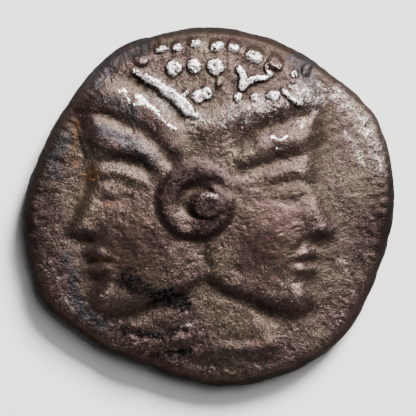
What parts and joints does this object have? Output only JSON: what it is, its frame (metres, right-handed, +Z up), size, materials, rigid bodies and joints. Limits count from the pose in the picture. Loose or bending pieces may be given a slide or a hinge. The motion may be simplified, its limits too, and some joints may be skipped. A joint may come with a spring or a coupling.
{
  "type": "silver diobol",
  "caption": "Small thick hand-struck silver coin: a janiform double head with pearled hair and round ear ornament, a punched square with a helmeted head below.",
  "frame": {"origin": "on the flat of the lower face, under the middle of the outline", "axes": "+Z up through the struck face with the double head, +Y towards the crown, +X towards the right face; the coin lies flat"},
  "size_m": [0.011, 0.0106, 0.0019],
  "materials": {
    "silver": "worn silver under a brown-grey patina, bright on the dots of hair and the diadem, darker in the grooves"
  },
  "bodies": {
    "root": {"coin": "silver"}
  },
  "joints": []
}
